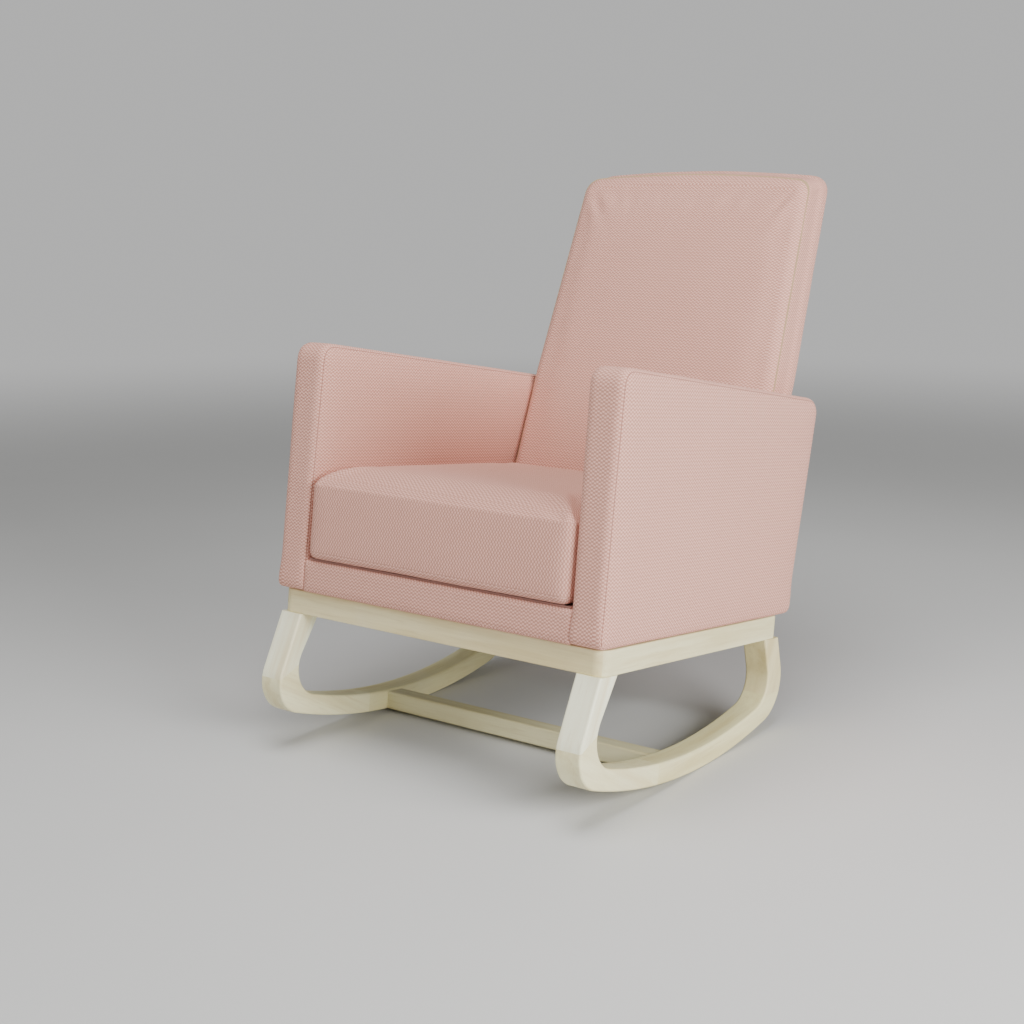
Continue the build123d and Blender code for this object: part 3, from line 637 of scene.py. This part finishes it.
def simple_finish(name, base, other, scale, rough, metallic=0.0, stretch=(1, 1, 1)):
    """Mottled plain material: metal or raw timber."""
    g = Graph(name)
    scaled = g.node("ShaderNodeMapping")
    g.link(g.place(), scaled.inputs[0])
    scaled.inputs["Scale"].default_value = stretch
    grain = g.noise(scaled.outputs[0], scale, detail=4.0)
    fine = g.noise(scaled.outputs[0], scale * 6, detail=2.0)
    colour = g.mix(grain, base, other)
    normal = g.bump(g.math("ADD", grain, fine), strength=0.2, distance=0.2 * MM)
    roughness = g.ramp(fine, low=0.3, high=0.7, low_out=rough[0], high_out=rough[1])
    return g.finish(colour, roughness, normal, Metallic=metallic)


def woven_cloth(name, base, other, pitch):
    """Plain over-and-under weave for linings, webbing, deck and tape."""
    g = Graph(name)
    place = g.place()
    parts = g.split(place)
    wave = g.math("SINE", g.times(parts[0], math.pi / pitch))
    cross = g.math("SINE", g.times(g.math("ADD", parts[1], parts[2]), math.pi / pitch))
    weave = g.times(wave, cross)
    fibre = g.noise(place, scale=900.0, detail=2.0, roughness=0.7)
    colour = g.mix(g.ramp(weave, low=-0.8, high=0.8), base, other)
    colour = g.mix(g.times(fibre, 0.2), colour, other)
    normal = g.bump(g.math("ADD", weave, fibre), strength=0.4, distance=0.25 * MM)
    rough = g.ramp(fibre, low=0.3, high=0.7, low_out=0.85, high_out=0.95)
    return g.finish(colour, rough, normal)


def assign(obj, material):
    obj.data.materials.clear()
    obj.data.materials.append(material)


FABRIC = honeycomb_fabric()


# ---------------------------------------------------------------- upholstery

def dress(obj, body, nodes):
    """Shared last steps of an upholstered piece."""
    assign(obj, FABRIC)
    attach(obj, body)
    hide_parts(*nodes)


def soft_rise(amount, reach):
    """A face that rises by amount over a distance from its rim."""
    return lambda distance: amount * (1 - np.exp(-(distance / reach) ** 2))


FLAT_FACE = soft_rise(0.0, 0.1)
CRISP_SPREAD = 8                 # outline points over which a crisp edge reaches round its corners
CRISP_PASSES = 20


def crisp_below(outline, crisp):
    """Edge radius share: small where the outline faces down and round its lower corners, full elsewhere."""
    facing_up = inward(outline)[:, 1]
    share = crisp + (1 - crisp) * np.clip((0.8 - facing_up) / 0.5, 0, 1)
    share = np.min([np.roll(share, k) for k in range(-CRISP_SPREAD, CRISP_SPREAD + 1)], axis=0)
    return smooth_ring(share, CRISP_PASSES)


ARM_EDGE = 14 * MM
SEAM_ANGLE = math.radians(38)      # seam's place on the rounded edge, from the side panel
ARM_LEAN = (-2 * MM, 8 * MM)       # inner face: move at the floor of the arm, and more by its top
ARM_FOOT_DROP = 2.5 * MM           # lower edge reaches down onto the plinth
ARM_FOOT_SHARE = 0.1               # part of the arm's height that the drop is spread over
ARM_SEEDS = {"left": 2, "right": 3}


def build_arm(side_name, seed):
    """One padded arm: two side panels sewn to the strip that runs up its front and along its top."""
    nodes = [f"arm_{side_name}_{part}" for part in ("inner_panel", "outer_panel", "edge_strip")]
    local = ARM_AXES.local(node_points(*nodes))
    outline = hull_outline(local[:, :2], passes=5)
    low, high = local[:, 2].min(), local[:, 2].max()
    floor, top = local[:, 1].min(), local[:, 1].max()
    outer, inner = (low, high) if side_name == "left" else (high, low)
    towards = math.copysign(1.0, inner - outer)
    _, at = round_profile(low, high, ARM_EDGE, ARM_EDGE)
    offset = ARM_EDGE * SEAM_ANGLE

    def widen(points):
        """The inner face leans in towards the top and the foot reaches down."""
        moved = points.copy()
        height = (points[:, 1] - floor) / (top - floor)
        share = (points[:, 2] - outer) / (inner - outer)
        moved[:, 2] += towards * share * (ARM_LEAN[0] + ARM_LEAN[1] * height)
        moved[:, 1] -= ARM_FOOT_DROP * np.clip(1 - height / ARM_FOOT_SHARE, 0, 1)
        return moved

    def held(points):
        """The strip lies tight over the wooden frame; only the side panels fill out."""
        middle = (low + high) / 2
        return np.abs(points[:, 2] - middle) < (high - low) / 2 - ARM_EDGE * 0.8

    bulge, reach = 0.5 * MM, 0.05
    arm = pad(f"arm_{side_name}", ARM_AXES, outline, (low, high), (ARM_EDGE, ARM_EDGE),
              seams=(offset, at[-1] - offset), dome=(soft_rise(-bulge, reach), soft_rise(bulge, reach)),
              shape=widen, edge_scale=crisp_below(outline, crisp=0.5), fix=held,
              swell=(3.0, 2.5 * MM), seed=seed)
    dress(arm, "chair", nodes)


BACK_EDGES = (12 * MM, 22 * MM)     # radii of the rear and the front edge
BACK_SEAM = 6 * MM                 # from the rear face, along the edge
BACK_HEM = 14 * MM                 # how far the hem reaches down behind the seat
BACK_HEM_REACH = 60 * MM
BACK_BOARD = 30 * MM               # rear depth that the filling can't move


def build_back():
    """Backrest: one soft-edged pad whose top runs level from front to rear, closed behind by a seam."""
    nodes = ["back_front_cover", "back_rear_cover", "back_foam"]
    front = BACK_AXES.local(node_points("back_front_cover"))
    rear = BACK_AXES.local(node_points("back_rear_cover"))
    face, split, low = front[:, 2].max(), front[:, 2].min(), rear[:, 2].min()
    through = BACK_AXES.local([(0, 1, 0)])[0]
    drift = -through[1] / through[2]
    at_split = front[:, 2] < split + 0.3 * MM
    ring = front[at_split][:, :2] - (0, drift * (face - split))
    outline = hull_outline(ring, passes=4)
    foot = outline[:, 1].min()

    def slant(points):
        """The top runs level from front to rear, and the lower hem reaches down behind the seat."""
        moved = points.copy()
        moved[:, 1] += drift * (face - points[:, 2])
        moved[:, 1] -= BACK_HEM * np.clip(1 - (points[:, 1] - foot) / BACK_HEM_REACH, 0, 1)
        return moved

    def held(points):
        return points[:, 2] < low + BACK_BOARD

    back = pad("backrest", BACK_AXES, outline, (low, face), BACK_EDGES, seams=(BACK_SEAM,),
               dome=(FLAT_FACE, soft_rise(3 * MM, 0.12)), shape=slant,
               edge_scale=crisp_below(outline, crisp=0.25), fix=held,
               swell=(4.0, 5 * MM), uneven=0.8 * MM, seed=5)
    dress(back, "chair", nodes)


STRIP_OVERLAP = 7 * MM
STRIP_DROP = 1.5 * MM              # lower edge reaches down onto the plinth
STRIP_CORNER = 3 * MM
STRIP_EDGES = (2 * MM, 4 * MM)


def build_front_panel():
    """Upholstered strip under the cushion; its ends run into the arms' rounded edges."""
    local = FRONT_AXES.local(node_points("front_panel"))
    low, high = local.min(0), local.max(0)
    outline = rounded_rectangle((low[0] - STRIP_OVERLAP, low[1] - STRIP_DROP),
                                (high[0] + STRIP_OVERLAP, high[1]), STRIP_CORNER, step=3 * MM)
    panel = pad("front_strip", FRONT_AXES, outline, (low[2], high[2]), STRIP_EDGES, seams=(),
                dome=(FLAT_FACE, soft_rise(0.6 * MM, 0.03)), uneven=0.3 * MM, seed=9,
                cap_step=7 * MM)
    dress(panel, "chair", ["front_panel"])


CROWN = 34 * MM                    # middle of the cushion above its upper seam
CROWN_REACH = 0.2
SHOULDER = 62 * MM                 # distance in from the side over which the shoulder turns
SHOULDER_RISE = 29 * MM
SEAM_DROP = 29 * MM                # upper seam under the highest point of the CAD cushion
CUSHION_EDGE = 14 * MM
CUSHION_RIM = 11 * MM              # where the edge band ends and the top face starts
RIM_RINGS = 24
QUARTER_TURN = 1.571
LOWER_SEAM_SHARE = 0.95            # how far round the lower edge its seam runs


def shoulder_height(inset):
    """How far the cushion's crown has risen above its seam at a distance in from the side."""
    return SHOULDER_RISE * np.sqrt(1 - (1 - np.clip(inset / SHOULDER, 0, 1)) ** 2)


def crown_rise(distance):
    """Height of the cushion's top above its rim at a distance from the rim."""
    inset = distance + CUSHION_RIM
    middle = (CROWN - SHOULDER_RISE) * (1 - (1 - np.clip(inset / CROWN_REACH, 0, 1)) ** 2)
    return shoulder_height(inset) - shoulder_height(np.full(1, CUSHION_RIM)) + middle


def cushion_profile(floor_z, seam_z):
    """Edge line of the cushion: round below, upright to its upper seam, then over the shoulder."""
    rows, _ = round_profile(floor_z, seam_z, CUSHION_EDGE, 0)
    upper = [(inset, seam_z + shoulder_height(inset)) for inset in np.linspace(0, CUSHION_RIM, RIM_RINGS)]
    rows = np.vstack([rows[:EDGE_STEPS + 1], upper])
    return rows, distances(rows)


def build_cushion():
    """Loose boxed seat cushion with a full crown above its top seam."""
    nodes = ["cushion_bottom_panel", "cushion_boxing", "cushion_top_panel", "cushion_foam_core"]
    local = PLAN_AXES.local(node_points(*nodes[:3]))
    bottom = PLAN_AXES.local(node_points("cushion_bottom_panel"))
    floor_z, top_z = local[:, 2].min(), local[:, 2].max()
    outline = hull_outline(bottom[bottom[:, 2] < floor_z + 0.5 * MM][:, :2], passes=4)
    front_y, rear_y = outline[:, 1].min(), outline[:, 1].max()
    rake = (local[:, 1].max() - rear_y) / (top_z - floor_z)
    rows, at = cushion_profile(floor_z, top_z - SEAM_DROP)
    lower_seam = CUSHION_EDGE * QUARTER_TURN * LOWER_SEAM_SHARE
    upper_seam = at[EDGE_STEPS + 1]

    def lean(points):
        """The cushion's rear side follows the rake of the backrest."""
        moved = points.copy()
        share = np.clip((points[:, 1] - front_y) / (rear_y - front_y), 0, 1) ** 2
        moved[:, 1] += rake * (points[:, 2] - floor_z) * share
        return moved

    def held(points):
        return points[:, 2] < floor_z + 1 * MM

    cushion = pad("seat_cushion", PLAN_AXES, outline, (floor_z, rows[-1, 1]), (CUSHION_EDGE, 0),
                  seams=(lower_seam, upper_seam), dome=(FLAT_FACE, crown_rise), shape=lean, fix=held,
                  profile=(rows, at), swell=(4.0, 5 * MM), seam_depth=0.4 * MM, uneven=0.6 * MM, seed=12)
    dress(cushion, "cushion", nodes)


for arm_side, arm_seed in ARM_SEEDS.items():
    build_arm(arm_side, arm_seed)
build_back()
build_front_panel()
build_cushion()


# ---------------------------------------------------------------- rigid parts keep their CAD shape

# grain and tone of each rocker segment; the front leg's lightest tone is painted light, where the lamp falls on
# its front and side
ROCKER_WOOD_AND_LIGHT = {
    "front_leg": (-SEAT_UP * 0.93 - SEAT_BACK * 0.37, (1.0, 0.96, 0.71)),
    "toe": (SEAT_BACK * 0.92 - SEAT_UP * 0.38, (0.90, 0.85, 0.53)),
    "runner": (SEAT_BACK * 0.99 + SEAT_UP * 0.12, (0.83, 0.77, 0.44)),
    "heel": (SEAT_UP * 0.9 + SEAT_BACK * 0.3, (0.77, 0.68, 0.38)),
}
STRETCHER_TONE = (0.74, 0.69, 0.42)
PLINTH_END_TONE = (0.85, 0.76, 0.45)
PLINTH_SIDE_TONE = (0.83, 0.78, 0.48)


def wood_for(name):
    """Grain direction, direction across it, and tone of each visible wooden piece; the front legs' tone holds
    painted light.
    """
    for segment, (grain, tone) in ROCKER_WOOD_AND_LIGHT.items():
        if name.endswith(segment):
            return grain, X, tone
    if name == "rocker_stretcher":
        return X, SEAT_UP, STRETCHER_TONE
    if name in ("plinth_front_rail", "plinth_rear_rail"):
        return X, SEAT_UP, PLINTH_END_TONE
    return SEAT_BACK, SEAT_UP, PLINTH_SIDE_TONE


DECK = woven_cloth("deck_cloth", (0.36, 0.19, 0.155), (0.45, 0.25, 0.205), pitch=1.0 * MM)
BY_SLOT = {
    "zinc_steel": simple_finish("zinc_steel", (0.60, 0.61, 0.63), (0.45, 0.46, 0.48), scale=300,
                                rough=(0.28, 0.42), metallic=1.0),
    "spring_steel": simple_finish("spring_steel", (0.30, 0.31, 0.33), (0.18, 0.18, 0.19), scale=200,
                                  rough=(0.35, 0.5), metallic=1.0),
    "zip_metal": simple_finish("zip_metal", (0.70, 0.70, 0.72), (0.55, 0.55, 0.57), scale=500,
                               rough=(0.2, 0.32), metallic=1.0),
    "frame_wood": simple_finish("frame_timber", (0.56, 0.40, 0.23), (0.42, 0.28, 0.15), scale=30,
                                rough=(0.6, 0.8), stretch=(1, 1, 6)),
    "lining_cloth": woven_cloth("lining_cloth", (0.025, 0.025, 0.026), (0.06, 0.06, 0.062),
                                pitch=1.2 * MM),
    "webbing": woven_cloth("jute_webbing", (0.40, 0.31, 0.19), (0.55, 0.45, 0.30), pitch=2.5 * MM),
    "zip_tape": woven_cloth("zip_tape_cloth", (0.46, 0.28, 0.23), (0.56, 0.36, 0.30), pitch=0.8 * MM),
}

slots = {part["node"]: part["material_slot"] for part in frame["record"]["subparts"]}
for order, (name, obj) in enumerate(sorted(frame["nodes"].items())):
    if slots[name] == "whitewashed_wood":
        grain, across, tone = wood_for(name)
        assign(obj, whitewashed_wood(f"wood_{name}", grain, across, tone, order))
    elif name == "seat_deck":
        assign(obj, DECK)
    elif slots[name] in BY_SLOT:
        assign(obj, BY_SLOT[slots[name]])


# ---------------------------------------------------------------- stage, light and camera

FLOOR_RADIUS = 14.0
FLOOR_DROP = 0.5 * MM              # keeps the floor just under the runners
FLOOR_FADE = (2.2, 6.5)            # distances between which the floor turns into the backdrop
FLOOR_TONES = ((0.60, 0.60, 0.59), (0.64, 0.64, 0.63))


def build_floor():
    """Pale floor that fades into the backdrop's grey far from the chair."""
    work = bmesh.new()
    bmesh.ops.create_circle(work, cap_ends=True, segments=96, radius=FLOOR_RADIUS)
    mesh = bpy.data.meshes.new("floor")
    work.to_mesh(mesh)
    work.free()
    floor = bpy.data.objects.new("floor", mesh)
    floor.location.z = -FLOOR_DROP
    bpy.context.scene.collection.objects.link(floor)
    g = Graph("floor_pale")
    place = g.place()
    tone = g.mix(g.noise(place, scale=1.2, detail=2.0), *FLOOR_TONES)
    material = g.finish(tone, 0.62, Specular_IOR_Level=0.3)
    far = g.node("ShaderNodeVectorMath", operation="LENGTH")
    g.link(place, far.inputs[0])
    fade = g.ramp(far.outputs["Value"], *FLOOR_FADE)
    clear = g.node("ShaderNodeBsdfTransparent")
    blend = g.node("ShaderNodeMixShader")
    out = g.tree.nodes["Material Output"]
    g.link(fade, blend.inputs[0])
    g.link(g.shader.outputs[0], blend.inputs[1])
    g.link(clear.outputs[0], blend.inputs[2])
    g.link(blend.outputs[0], out.inputs[0])
    assign(floor, material)


def area_light(name, place, size, power, aim=(0, 0, 0.4)):
    """A soft rectangular lamp turned towards the chair."""
    light = bpy.data.lights.new(name, "AREA")
    light.shape = "RECTANGLE"
    light.size, light.size_y = size
    light.energy = power
    obj = bpy.data.objects.new(name, light)
    obj.location = place
    obj.rotation_euler = (Vector(aim) - Vector(place)).to_track_quat("-Z", "Y").to_euler()
    bpy.context.scene.collection.objects.link(obj)


def build_world(light, backdrop):
    """Soft grey surroundings: light is what reaches the chair, backdrop what is seen behind it."""
    world = bpy.data.worlds.new("studio")
    world.use_nodes = True
    tree = world.node_tree
    lit = tree.nodes["Background"]
    lit.inputs[0].default_value = (1, 1, 0.985, 1)
    lit.inputs[1].default_value = light
    seen = tree.nodes.new("ShaderNodeBackground")
    seen.inputs[0].default_value = (1, 1, 0.995, 1)
    seen.inputs[1].default_value = backdrop
    path = tree.nodes.new("ShaderNodeLightPath")
    mix = tree.nodes.new("ShaderNodeMixShader")
    tree.links.new(path.outputs["Is Camera Ray"], mix.inputs[0])
    tree.links.new(lit.outputs[0], mix.inputs[1])
    tree.links.new(seen.outputs[0], mix.inputs[2])
    tree.links.new(mix.outputs[0], tree.nodes["World Output"].inputs[0])
    bpy.context.scene.world = world


def build_camera():
    """Three-quarter view from the front and the right, a little above the seat."""
    azimuth, elevation = math.radians(36.14), math.radians(11.78)
    distance = 2.8352
    target = Vector((-0.0602, -0.1074, 0.3932))
    back = Vector((math.sin(azimuth) * math.cos(elevation), -math.cos(azimuth) * math.cos(elevation),
                   math.sin(elevation)))
    data = bpy.data.cameras.new("camera")
    data.lens = 56.25
    data.sensor_width = 36
    camera = bpy.data.objects.new("camera", data)
    camera.location = target + back * distance
    camera.rotation_euler = (-back).to_track_quat("-Z", "Y").to_euler()
    bpy.context.scene.collection.objects.link(camera)
    bpy.context.scene.camera = camera


build_floor()
build_world(light=0.19, backdrop=0.56)
area_light("key", place=(3.3, -0.8, 1.45), size=(2.4, 1.4), power=176, aim=(0, 0, 0.45))
area_light("fill", place=(-1.2, -3.2, 1.6), size=(2.5, 2.0), power=25)
area_light("top", place=(0.2, -0.9, 3.3), size=(2.0, 2.0), power=84)
build_camera()
